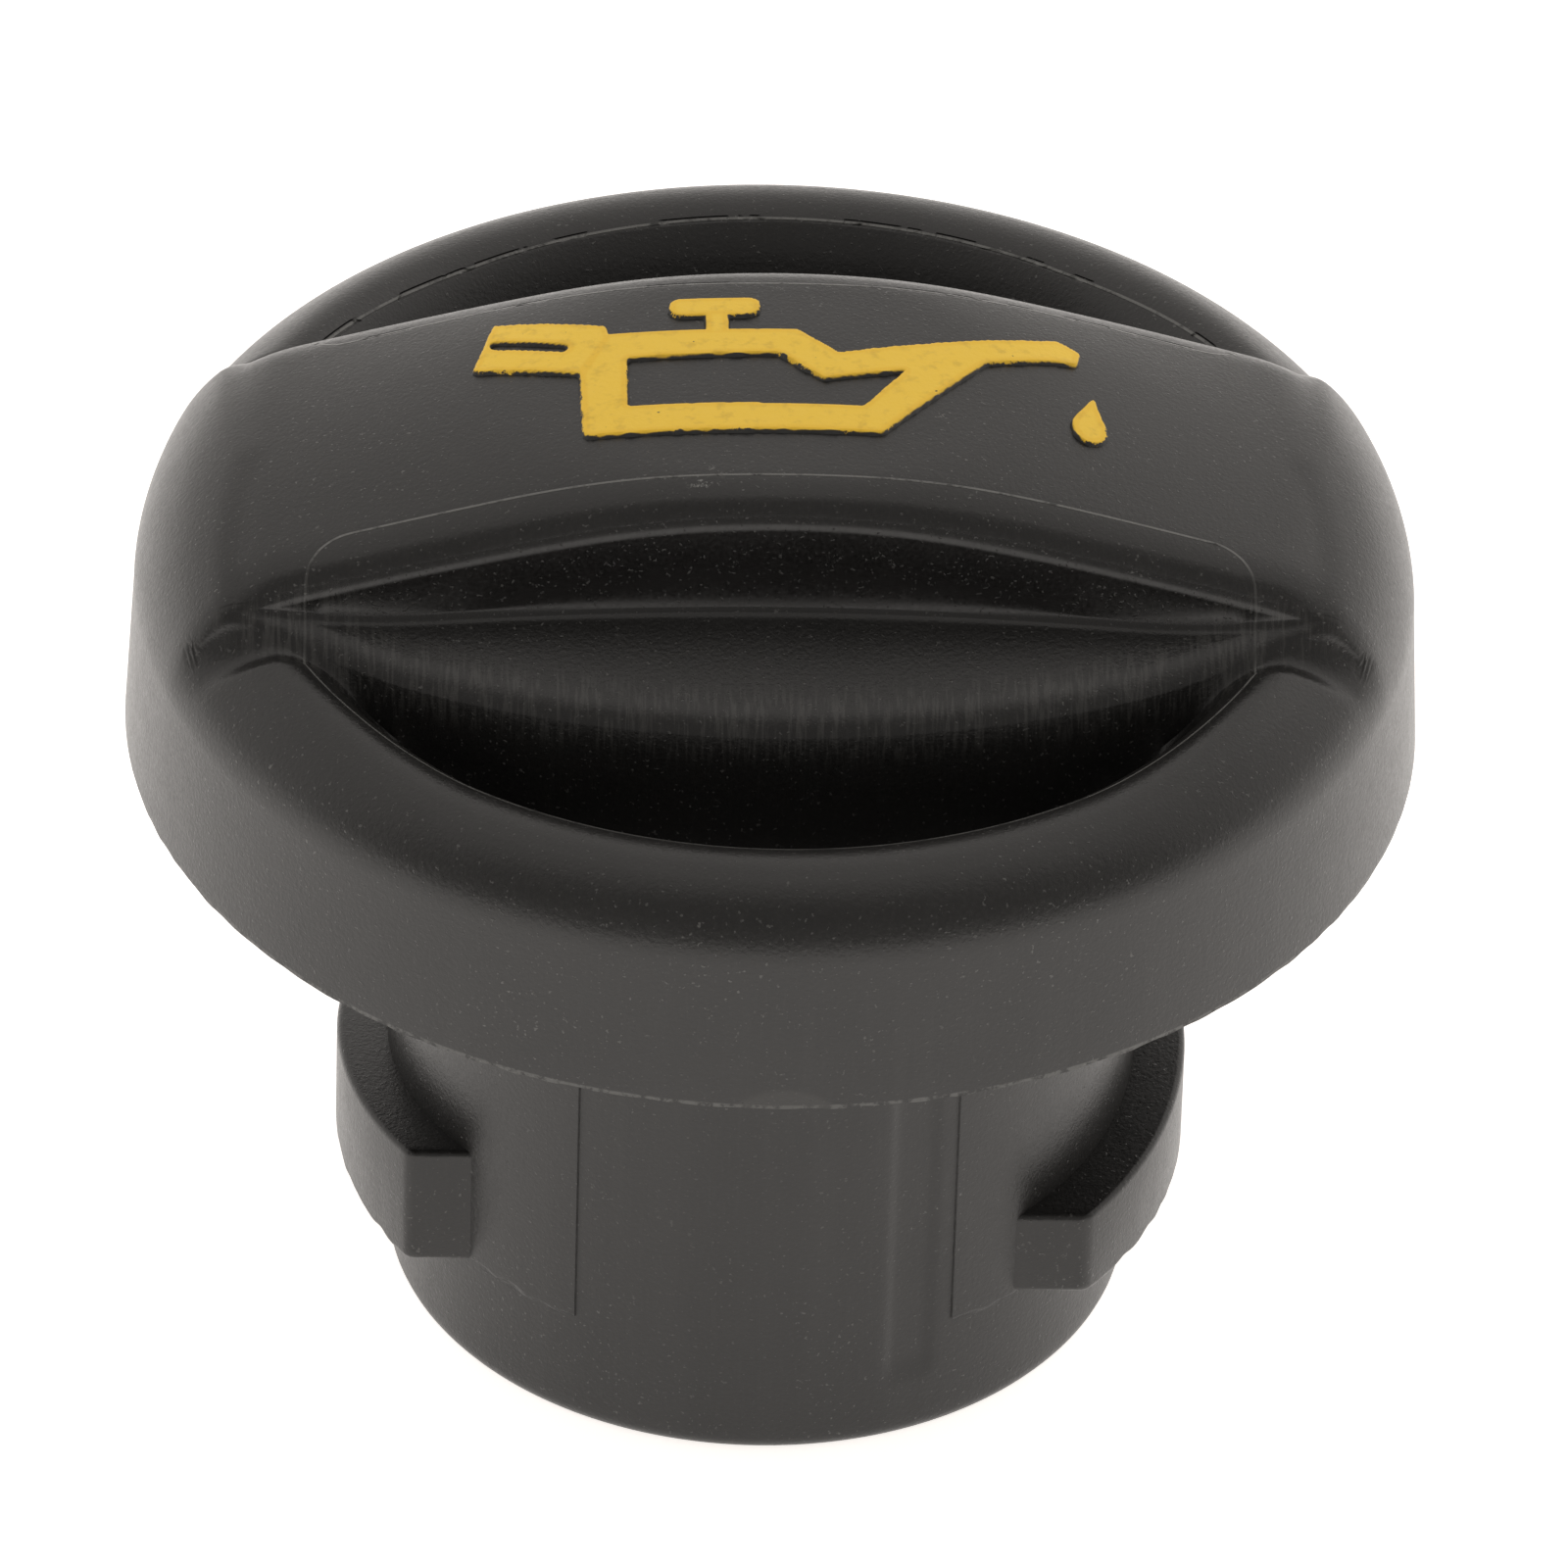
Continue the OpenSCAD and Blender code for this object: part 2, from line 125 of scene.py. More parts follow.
def shoulder(form, cornerHeight, slope, r):
    # a sloping top that turns down into the skirt's wall:
    # corner, slope, centre of the rounding, tangent radii, rounding
    corner = np.array([form["radius"] - cornerHeight * tanDeg(form["draft"]), cornerHeight])
    down = np.array([form["radius"], 0]) - corner
    inward = np.array([-1, tanDeg(slope)])
    down, inward = down / np.linalg.norm(down), inward / np.linalg.norm(inward)
    half = math.acos(down @ inward) / 2
    bisector = (down + inward) / np.linalg.norm(down + inward)
    reach = r / math.tan(half)
    centre = corner + bisector * r / math.sin(half)
    return corner, slope, centre, (corner + inward * reach)[0], (corner + down * reach)[0], r


def shoulderHeight(form, part, radius):
    corner, slope, centre, first, last, r = part
    flat = corner[1] + (corner[0] - radius) * tanDeg(slope)
    rounded = centre[1] + np.sqrt(np.maximum(r * r - (radius - centre[0]) ** 2, 0))
    wall = (form["radius"] - radius) / tanDeg(form["draft"])
    return np.where(radius < first, flat, np.where(radius < last, rounded, wall))


def roundedStep(q, high, low, roundHigh, roundLow, lean):
    # from low up to high across a leaning wall, q is the distance inside the upper edge;
    # where the step is too low for its roundings, they keep their width and it gets flatter
    rise = softMax(high - low, 0, 0.6)
    half, lie = tanDeg((90 - lean) / 2), math.sin(math.radians(lean))
    topReach, footReach = roundHigh * half, roundLow * half
    full = softMax(rise, (topReach + footReach) * math.cos(math.radians(lean)), 0.4)
    foot = -full * tanDeg(lean)
    top = full - roundHigh + np.sqrt(np.maximum(0, roundHigh ** 2 - (topReach - q) ** 2))
    wall = full + q / tanDeg(lean)
    bottom = roundLow - np.sqrt(np.maximum(0, roundLow ** 2 - (q - foot + footReach) ** 2))
    starts = [topReach, -topReach * lie, foot + footReach * lie, foot - footReach]
    height = np.select([q >= start for start in starts], [full, top, wall, bottom], 0)
    return low + height * rise / full


rimCorner = ((headForm["rimHeight"] - headForm["rimWidth"] * tanDeg(headForm["rimSlope"]))
             / (1 - tanDeg(headForm["draft"]) * tanDeg(headForm["rimSlope"])))
rimShoulder = shoulder(headForm, rimCorner, headForm["rimSlope"], headForm["shoulderRound"])
endShoulder = shoulder(headForm, headForm["endHeight"], headForm["endSlope"], headForm["endRound"])
rimInside = headForm["radius"] - headForm["rimWidth"]
crestOffset = headForm["crestPlanRadius"] - headForm["shelfWidth"] / 2


def headHeight(form, x, y):
    # rim over scoop floor, shelf over rim, bar over shelf
    x, y = np.abs(x), np.abs(y)
    radius = np.hypot(x, y)
    channelMiddle = form["flank"] + form["ridgeWidth"] + form["channelWidth"] / 2
    across = np.minimum(1, np.abs(y - channelMiddle) * 2 / form["channelWidth"])
    along = np.clip((x - form["channelRun"][0]) / (form["channelRun"][1] - form["channelRun"][0]), 0, 1)
    channel = form["channelDepth"] * (1 - across ** 2) ** 2 * (1 - along ** 2) ** 2
    lift = form["rimRise"] * smooth(*form["rimRiseRun"], x) * smooth(*form["rimRiseEnd"], radius)
    rimTop = shoulderHeight(form, rimShoulder, radius) + lift - channel
    rim = roundedStep(radius - rimInside, rimTop, form["floorHeight"],
                      form["rimEdgeRound"], form["rimRound"], form["rimLean"])
    rise = form["shelfRiseRadius"]
    crest = form["crestHeight"] + rise - np.sqrt(rise ** 2 - np.maximum(x - form["shelfRiseFrom"], 0) ** 2)
    ridge = form["flank"] + form["ridgeWidth"] - y
    q = softMax(form["crestPlanRadius"] - np.hypot(x, y + crestOffset), ridge, form["ridgeBlend"])
    ends = shoulderHeight(form, endShoulder, radius)
    shelfTop = softMin(crest + np.maximum(q, 0) * tanDeg(form["shelfFall"]), ends, form["shelfBlend"])
    shelf = roundedStep(q, shelfTop, rim, form["crestRound"], form["floorRound"], form["scoopLean"])
    crown = form["barHeight"] - form["crownRadius"] + np.sqrt(form["crownRadius"] ** 2 - x * x)
    fall = np.maximum(y - form["fallFrom"], 0) ** 2 / (2 * form["fallRadius"]) * smooth(*form["fallRun"], x)
    fall = fall + y * y / (2 * form["crossRadius"])
    top = softMin(crown, ends, form["crownBlend"]) - fall
    root = form["flankRound"] + (form["tipRound"] - form["flankRound"]) * smooth(*form["tipRun"], x)
    return roundedStep(form["flank"] - y, top, shelf, form["barEdgeRound"], root, form["flankLean"])


def onShoulder(angle):
    return rimShoulder[2][0] + headForm["shoulderRound"] * sinDeg(angle)


def headRows(form, x, limit):
    # distances from the bar's centre line where the net's rows run: along every edge and rounding
    # of the form, evenly between them, in rising order and within the limit
    scoopRun = (form["crestHeight"] - form["floorHeight"]) * tanDeg(form["scoopLean"])
    rimRun = (form["rimHeight"] - form["floorHeight"]) * tanDeg(form["rimLean"])
    edgeReach = tanDeg((90 - form["flankLean"]) / 2)
    rootFoot = form["flank"] + (form["barHeight"] - form["crestHeight"]) * tanDeg(form["flankLean"])

    def crestLine(q):
        arc = np.sqrt(np.maximum((form["crestPlanRadius"] - q) ** 2 - x * x, 0)) - crestOffset
        return np.maximum(arc, form["flank"] + form["ridgeWidth"] - q)

    def circleLine(r):
        return np.sqrt(np.maximum(r * r - x * x, 0))

    def footOut(run, r, angle):
        return run + r * (1 - cosDeg(angle))

    crest = crestLine(0)
    valley = crest + np.maximum(circleLine(rimInside) - crest, form["channelWidth"]) * form["valleyShare"]
    edges = [form["flank"] - form["barEdgeRound"] * (edgeReach - sinDeg(a)) + 0 * x
             for a in np.linspace(0, 88, 9)]
    roots = [np.minimum(rootFoot + form["flankRound"] * (1 - cosDeg(a)), crestLine(form["crestRound"]))
             for a in np.linspace(0, 90, 8)]
    crests = [crestLine(form["crestRound"] * (1 - sinDeg(a))) for a in np.linspace(0, 84, 9)]
    feet = [np.minimum(crestLine(-footOut(scoopRun, form["floorRound"], a)), valley)
            for a in np.linspace(0, 90, 8)]
    rest = circleLine(onShoulder(form["netAngle"])) - valley
    rimFeet = [np.maximum(circleLine(rimInside - footOut(rimRun, form["rimRound"] / 3, a)), valley + rest * s)
               for a, s in zip(np.linspace(90, 0, 8), np.linspace(0.02, 0.18, 8))]
    rimEdges = [np.maximum(circleLine(rimInside + form["rimEdgeRound"] * (1 - sinDeg(a))), valley + rest * s)
                for a, s in zip(np.linspace(84, 0, 8), np.linspace(0.2, 0.4, 8))]
    rims = [np.maximum(circleLine(onShoulder(a)), valley + rest * s)
            for a, s in zip(np.linspace(3, form["netAngle"] - 4, 10), np.linspace(0.44, 0.94, 10))]
    lines, last = [], 0 * x
    groups = ((edges, 14), (roots, 2), (crests, 6), (feet, 3), (rimFeet, 4), (rimEdges, 2), (rims, 1))
    for group, between in groups:
        lines += [last + (group[0] - last) * k / (between + 1) for k in range(1, between + 1)] + group
        last = group[-1]
    lines = np.array(lines)
    count = len(lines)
    number = np.arange(count)[:, None]
    gap = np.minimum(form["rowGap"], limit / (count + 1) * 0.6)
    lines = np.minimum(lines, limit - (count - number) * gap)
    lines = np.maximum.accumulate(np.maximum(lines - (number + 1) * gap, 0), axis=0) + (number + 1) * gap
    return np.vstack([0 * x, lines, limit])


def headNet(form):
    # the net's points, faces and outer ring of point numbers: columns run across the bar, rows along it
    n = form["columns"]
    angle = 180 * np.arange(1, n) / n
    netRadius = onShoulder(form["netAngle"])
    x, limit = netRadius * cosDeg(angle), netRadius * sinDeg(angle)
    rows = headRows(form, np.abs(x), limit)
    m = len(rows) - 1
    y = np.vstack([-rows[:0:-1], rows]).T
    xs = np.repeat(x[:, None], 2 * m + 1, axis=1)
    grid = np.stack([xs, y, headHeight(form, xs, y)], axis=-1).reshape(-1, 3)
    poleHeight = float(headHeight(form, np.array(netRadius), np.array(0.0)))
    poles = [[side * netRadius, 0, poleHeight] for side in (1, -1)]
    number = 2 + np.arange((n - 1) * (2 * m + 1)).reshape(n - 1, 2 * m + 1)
    quads = np.stack([number[:-1, :-1], number[:-1, 1:], number[1:, 1:], number[1:, :-1]], axis=-1)
    right = np.stack([number[0, 1:], number[0, :-1], np.zeros(2 * m, int)], axis=-1)
    left = np.stack([number[-1, :-1], number[-1, 1:], np.ones(2 * m, int)], axis=-1)
    ring = np.concatenate([[0], number[:, -1], [1], number[::-1, 0]])
    return np.vstack([poles, grid]), quads.reshape(-1, 4).tolist() + right.tolist() + left.tolist(), ring


# What goes on from the head's net, all round: skirt, cavity, neck, bore

roundForm = {
    "cavityHeight": 2.6, "flash": 0.1, "flashThick": 0.12,
    "pocketHeight": 10.4, "pocketRib": 1.8, "pocketWidth": 7, "pocketInside": 25.3,
    "neckRadius": 18.9, "neckDraft": 0.2, "footRound": 1,
    "boreRadius": 16.5, "boreDraft": 1.5, "boreTop": 42.8,
    "slotWidth": 15.8, "slotStep": 0.6, "barWall": 2.5,
    "slideStep": 0.15, "slideAngle": 60, "slideBase": 6.8, "slideRag": 0.35,
    "grooveAngle": -67, "grooveWidth": 2.3, "grooveDepth": 0.2, "grooveBase": 3.6,
}


def pocketAngles(form, turn, radius):
    # the columns' angles, shifted so that four of them run along the sides of the pockets
    # under the bar's ends
    near = math.degrees(math.asin(form["pocketRib"] / 2 / radius))
    far = math.degrees(math.asin((form["pocketRib"] / 2 + form["pocketWidth"]) / radius))
    quarter = len(turn) // 4
    marks = [0, 2, 3, 18, 19, quarter]
    index = np.arange(len(turn)) % (2 * quarter)
    half = index > quarter
    index = np.minimum(index, 2 * quarter - index)
    folded = np.interp(index, marks, [0, near - 0.05, near + 0.05, far - 0.05, far + 0.05, 90])
    inside = (index >= marks[2]) & (index <= marks[3])
    angle = np.where(half, 180 - folded, folded) + 180 * (np.arange(len(turn)) // (2 * quarter))
    return angle, inside


def crowded(turn, places, width, strength):
    # the same number of angles, crowded round some places
    fine = np.linspace(0, 360, 7201)
    density = 1 + sum(strength * np.exp(-(((fine - p + 180) % 360 - 180) / width) ** 2) for p in places)
    total = np.concatenate([[0], np.cumsum((density[1:] + density[:-1]) / 2)])
    return np.interp(turn / 360, total / total[-1], fine)


def neckRadius(form, angle, height):
    # the plain round neck, the slides' faces a little proud of it, and the two shallow grooves
    side = np.abs((angle + 90) % 180 - 90)
    rag = waves(5, 14, 0.2, 1.2, angle + 0 * height) * form["slideRag"] / 3
    slide = smooth(0.12, -0.12, side - form["slideAngle"]) * smooth(0, 0.12, height - form["slideBase"] - rag)
    groove = np.abs((angle - form["grooveAngle"] + 90) % 180 - 90) * math.radians(1) * form["neckRadius"]
    cut = smooth(0.45, -0.45, groove - form["grooveWidth"] / 2)
    cut = cut * smooth(-0.2, 1.4, height - form["grooveBase"])
    drafted = np.maximum(height - form["slideBase"], 0) * tanDeg(form["neckDraft"])
    return form["neckRadius"] + drafted + form["slideStep"] * slide - form["grooveDepth"] * cut


def roundRows(head, form, turn):
    # rows of [angle, radius, height] all round, from the shoulder down the skirt, up into the cavity,
    # down the neck to its foot, up the bore and to the roof of the slot in the bar
    x, y = cosDeg(turn), sinDeg(turn)
    none = 0 * turn
    rows = []
    for a in np.linspace(head["netAngle"] + 3, 87, 9):
        r = onShoulder(a)
        rows.append((turn, r + none, headHeight(head, r * x, r * y)))
    top = rows[-1][2]
    draft = tanDeg(head["draft"])
    for k in np.linspace(0.08, 0.97, 8):
        rows.append((turn, head["radius"] - top * (1 - k) * draft, top * (1 - k)))
    rag = form["flash"] * (0.4 + 0.3 * waves(3, 18, 0.3, 2.5, turn))
    rag = np.clip(rag, 0, 2 * form["flash"])
    rows.append((turn, head["radius"] - 0.01 + none, none + 0.1))
    rows.append((turn, head["radius"] + none, -rag))
    rows.append((turn, head["radius"] - form["flashThick"] + none, -rag))
    rows.append((turn, head["radius"] - 1.5 * form["flashThick"] + none, none))
    inside = head["radius"] - head["skirtWall"]
    roof = form["cavityHeight"]
    rows += [(turn, inside + 0.2 + none, none), (turn, inside + none, none + 0.2)]
    rows += [(turn, inside - roof * k * draft + none, none + roof * k) for k in (0.4, 0.85)]
    rows.append((turn, inside - roof * draft - 0.25 + none, none + roof))
    outer = inside - form["pocketHeight"] * draft
    for r, depth in ((outer + 0.04, 0), (outer, 1), ((outer + form["pocketInside"]) / 2, 1),
                     (form["pocketInside"], 1), (form["pocketInside"] - 0.04, 0)):
        angle, pocket = pocketAngles(form, turn, r)
        rows.append((angle, r + none, roof + depth * pocket * (form["pocketHeight"] - roof)))
    places = [s * form["slideAngle"] + t for s in (1, -1) for t in (0, 180)]
    grooveHalf = math.degrees(form["grooveWidth"] / 2 / form["neckRadius"])
    places += [form["grooveAngle"] + s * grooveHalf + t for s in (1, -1) for t in (0, 180)]
    around = crowded(turn, places, 0.7, 5)
    heights = np.concatenate([np.linspace(headBase + roof, 7.8, 14), np.linspace(7.6, 6.2, 22),
                              np.linspace(5.8, 3.9, 6), np.linspace(3.75, 3.55, 4), [3.2, 2.4, 1.6]])
    rows += [(around, neckRadius(form, around, h) + 0, none + h - headBase) for h in heights]
    rows += [(around, form["neckRadius"] - form["footRound"] * (1 - cosDeg(a)) + none,
              form["footRound"] * (1 - sinDeg(a)) - headBase + none) for a in np.linspace(0, 90, 7)]
    rows += [(around, form["boreRadius"] + 0.25 + none, none - headBase),
             (around, form["boreRadius"] + none, none - headBase + 0.25)]
    boreTop = form["boreTop"]
    rows += [(around, form["boreRadius"] - h * tanDeg(form["boreDraft"]) + none, none + h - headBase)
             for h in np.linspace(1, boreTop, 6)]
    slotRound = form["boreRadius"] - boreTop * tanDeg(form["boreDraft"]) - form["slotStep"]
    slot = np.minimum(slotRound, form["slotWidth"] / 2 / np.maximum(np.abs(sinDeg(around)), 0.01))
    inner = head["crownRadius"] - form["barWall"]
    for reach, lift in ((1, 0), (1, 0.33), (1, 0.67), (1, 1), (0.75, 1), (0.5, 1), (0.25, 1)):
        x = slot * reach * cosDeg(around)
        roofHeight = head["barHeight"] - head["crownRadius"] + np.sqrt(inner ** 2 - x * x)
        low = boreTop - headBase
        rows.append((around, slot * reach, low + (roofHeight - low) * lift))
    return rows


def makeCapBody():
    points, faces, ring = headNet(headForm)
    turn = 360 * np.arange(len(ring)) / len(ring)
    rows = roundRows(headForm, roundForm, turn)
    number = [ring]
    for k, (angle, radius, height) in enumerate(rows):
        number.append(len(points) + k * len(ring) + np.arange(len(ring)))
    below = np.array([np.stack([r * cosDeg(a), r * sinDeg(a), h], axis=-1) for a, r, h in rows])
    below = below.reshape(-1, 3)
    number = np.array(number)
    after = np.roll(number, -1, axis=1)
    quads = np.stack([number[:-1], number[1:], after[1:], after[:-1]], axis=-1).reshape(-1, 4)
    pole = len(points) + len(below)
    roof = [0, 0, headForm["barHeight"] - roundForm["barWall"]]
    fan = np.stack([number[-1], np.full(len(ring), pole), after[-1]], axis=-1)
    points = np.vstack([points, below, [roof]]) + [0, 0, headBase]
    faces = faces + quads.tolist() + fan.tolist()
    for side in (1, -1):
        lugPoints, lugFaces = makeLug(lugForm, side)
        faces += [[corner + len(points) for corner in face] for face in lugFaces]
        points = np.vstack([points, lugPoints])
    return makeMesh("capBody", points, faces)


lugForm = {"reach": 2.75, "inside": 1.2, "base": 6.8, "leadHeight": 4.9, "trailHeight": 6.9,
           "lead": 14.2, "trail": 12, "edgeRound": 0.35, "stations": 120}


def makeLug(form, side):
    # a block that follows the neck: rounded sections in planes across Y, pulled in at both end faces
    r = form["edgeRound"]
    ease = (1 - np.cos(np.linspace(0, math.pi / 2, 6))) * r
    y = np.concatenate([-form["lead"] + ease, np.linspace(-form["lead"] + 2 * r, form["trail"] - 2 * r,
                                                          form["stations"]), form["trail"] - ease[::-1]])
    near = np.minimum(y + form["lead"], form["trail"] - y)
    pull = np.where(near < r, r - np.sqrt(np.maximum(r * r - (r - near) ** 2, 0)), 0)
    outer = np.sqrt((roundForm["neckRadius"] + form["reach"]) ** 2 - y * y) - pull
    inner = np.sqrt((roundForm["neckRadius"] - form["inside"]) ** 2 - y * y)
    share = (y + form["lead"]) / (form["lead"] + form["trail"])
    rag = 0.05 * waves(11, 12, 1, 5, y)
    low = form["base"] + pull + rag
    high = form["base"] + form["leadHeight"] + (form["trailHeight"] - form["leadHeight"]) * share - pull
    turns = np.radians(np.linspace(0, 90, 5))
    section = [(inner, low)]
    section += [(outer - r + r * math.sin(t), low + r - r * math.cos(t)) for t in turns]
    section += [(outer - r + r * math.cos(t), high - r + r * math.sin(t)) for t in turns]
    section += [(inner, high)]
    points = np.array([np.stack([x, y, z], axis=-1) for x, z in section])
    count, stations = points.shape[:2]
    number = np.arange(count * stations).reshape(count, stations)
    after = np.roll(number, -1, axis=0)
    faces = np.stack([number[:, :-1], number[:, 1:], after[:, 1:], after[:, :-1]], axis=-1)
    faces = faces.reshape(-1, 4).tolist()
    ends = np.array([points[:, 0].mean(axis=0), points[:, -1].mean(axis=0)])
    first, last = np.full(count, count * stations), np.full(count, count * stations + 1)
    faces += np.stack([number[:, 0], after[:, 0], first], axis=-1).tolist()
    faces += np.stack([after[:, -1], number[:, -1], last], axis=-1).tolist()
    return np.vstack([points.reshape(-1, 3), ends]) * [side, side, 1], faces


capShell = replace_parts(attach(makeCapBody(), "root"), "cap_body")
print("stage: cap body made,", len(capShell.data.polygons), "faces")


# The marks on the bar: flat outlines raised from its top

canForm = {
    "rise": 0.22, "sink": 0.1, "edge": 0.1, "rag": 0.03, "cell": 0.1, "cornerRound": 0.2,
    "body": [(-8.65, 3.8), (-10, 0.45), (-9.85, -4.65), (-9.35, -4.8), (5, -4.8), (10.3, 1.85), (13.7, 2.95),
             (14.9, 3.05), (15.1, 4.3), (14, 5), (12.4, 4.5), (2.95, 1.85), (0.95, 3.75)],
    "handle": [(-14.25, 6.1), (-8.65, 4.5), (-8.4, 3.4), (-9.8, 0.45), (-15.3, 2)],
    "button": [(-5.5, 5), (-0.9, 5), (-0.9, 6.6), (-5.5, 6.6)],
    "stem": [(-3.68, 3.2), (-2.5, 3.2), (-2.5, 5.4), (-3.68, 5.4)],
    "slot": [(-14.4, 4.45), (-10.5, 3.1), (-10.65, 2.5), (-14.4, 3.75)],
    "window": [(-7.6, 1.5), (-0.1, 1.63), (2.1, -0.5), (6.2, 0.57), (4.07, -2.65), (-7.6, -2.5)],
}
dropForm = {
    "rise": 0.22, "sink": 0.1, "edge": 0.1, "rag": 0.03, "cell": 0.06,
    "drop": [(15.65, 0.5), (14.95, -0.8), (14.5, -1.7), (14.45, -2.2), (14.6, -2.8), (14.95, -3.2),
             (15.35, -3.35), (15.85, -3.2), (16.2, -2.8), (16.3, -2.3), (16.2, -1.7), (15.95, -0.9)],
}


def roundCorners(corners, r, steps=6):
    # each corner gives way to a curve between two points at distance r from it, or less on a short side
    corners = np.array(corners, float)
    before, after = np.roll(corners, 1, axis=0) - corners, np.roll(corners, -1, axis=0) - corners
    reach = [np.minimum(r / np.linalg.norm(d, axis=1), 0.48)[:, None] * d for d in (before, after)]
    t = np.linspace(0, 1, steps)[None, :, None]
    start, end = (corners + reach[0])[:, None], (corners + reach[1])[:, None]
    return ((1 - t) ** 2 * start + 2 * t * (1 - t) * corners[:, None] + t * t * end).reshape(-1, 2)


def outlineDistance(corners, x, y):
    # distance to a closed outline, negative inside it
    a, b = corners, np.roll(corners, -1, axis=0)
    nearest, crossings = np.full(x.shape, 1e9), np.zeros(x.shape, bool)
    for (ax, ay), (bx, by) in zip(a, b):
        length = (bx - ax) ** 2 + (by - ay) ** 2 + 1e-12
        along = np.clip(((x - ax) * (bx - ax) + (y - ay) * (by - ay)) / length, 0, 1)
        nearest = np.minimum(nearest, np.hypot(x - ax - along * (bx - ax), y - ay - along * (by - ay)))
        spans = (ay > y) != (by > y)
        crossings ^= spans & (x < (bx - ax) * (y - ay) / (by - ay + 1e-12 * (by == ay)) + ax)
    return np.where(crossings, -nearest, nearest)


def canDistance(form, x, y):
    def part(name, r):
        return outlineDistance(roundCorners(form[name], r), x, y)
    solid = np.minimum.reduce([part("body", form["cornerRound"]), part("handle", form["cornerRound"]),
                               part("button", 0.8), part("stem", 0.1)])
    return np.maximum.reduce([solid, -part("slot", 0.45), -part("window", form["cornerRound"])])


def dropDistance(form, x, y):
    return outlineDistance(roundCorners(form["drop"], 0.5), x, y)


def makeRelief(name, form, distanceTo, low, high):
    # height above the bar's top rises from -sink outside the outline to +rise inside it, over a ragged edge
    places = [np.arange(low[k], high[k], form["cell"]) for k in range(2)]
    x, y = np.meshgrid(*places, indexing="ij")
    distance = distanceTo(form, x, y)
    ragged = distance + form["rag"] * waves(21, 24, 1.5, 9, x, y) * 0.6
    lift = (form["rise"] + form["sink"]) * smooth(form["edge"], -0.5 * form["edge"], ragged) - form["sink"]
    skin = headHeight(headForm, x, y) + headBase
    kept = ragged < form["edge"]
    cells = kept[:-1, :-1] | kept[:-1, 1:] | kept[1:, :-1] | kept[1:, 1:]
    padded = np.pad(cells, 1)
    inner = padded[:-1, :-1] & padded[:-1, 1:] & padded[1:, :-1] & padded[1:, 1:]
    used = padded[:-1, :-1] | padded[:-1, 1:] | padded[1:, :-1] | padded[1:, 1:]
    top = np.full(x.shape, -1)
    top[used] = np.arange(used.sum())
    bottom = top.copy()
    bottom[inner] = used.sum() + np.arange(inner.sum())
    points = np.vstack([np.stack([x, y, skin + lift], axis=-1)[used],
                        np.stack([x, y, skin - form["sink"]], axis=-1)[inner]])

    def around(number, order):
        corners = (number[:-1, :-1], number[1:, :-1], number[1:, 1:], number[:-1, 1:])
        return np.stack([corners[k][cells] for k in order], axis=-1)

    faces = around(top, (0, 1, 2, 3)).tolist() + around(bottom, (3, 2, 1, 0)).tolist()
    piece = makeMesh(name, points, faces, 75)
    stored = piece.data.attributes.new("outlineDistance", "FLOAT", "POINT")
    stored.data.foreach_set("value", np.concatenate([distance[used], distance[inner]]).astype(np.float32))
    return piece


oilCanMark = makeRelief("oilCanMark", canForm, canDistance, (-15.8, -5.3), (15.7, 7.1))
oilDropMark = makeRelief("oilDropMark", dropForm, dropDistance, (14.1, -3.8), (16.7, 0.9))
for piece, node in ((oilCanMark, "oil_can_mark"), (oilDropMark, "oil_drop_mark")):
    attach(piece, "root")
    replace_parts(piece, node)
print("stage: marks made,", len(oilCanMark.data.polygons), "faces")


# Finishes

class Wire:
    # one output socket: arithmetic on it adds Math nodes
    def __init__(self, finish, socket):
        self.finish, self.socket = finish, socket

    def math(self, operation, *values):
        return self.finish.node("Math", {"operation": operation}, list(values))

    def __add__(self, other):
        return self.math("ADD", self, other)

    def __sub__(self, other):
        return self.math("SUBTRACT", self, other)

    def __rsub__(self, other):
        return self.math("SUBTRACT", other, self)

    def __mul__(self, other):
        return self.math("MULTIPLY", self, other)

    __radd__, __rmul__ = __add__, __mul__

    def __abs__(self):
        return self.math("ABSOLUTE", self)

    def most(self, other):
        return self.math("MAXIMUM", self, other)

    def least(self, other):
        return self.math("MINIMUM", self, other)

    def root(self):
        return self.math("SQRT", self)

    def ramp(self, low, high):
        # 0 at low, 1 at high, smooth between
        return self.finish.node("MapRange", {"interpolation_type": "SMOOTHSTEP"},
                                {"Value": self, "From Min": low, "From Max": high})

    def near(self, place, half, soft):
        # 1 within half of a place, 0 past half + soft
        return abs(self - place).ramp(half + soft, half)


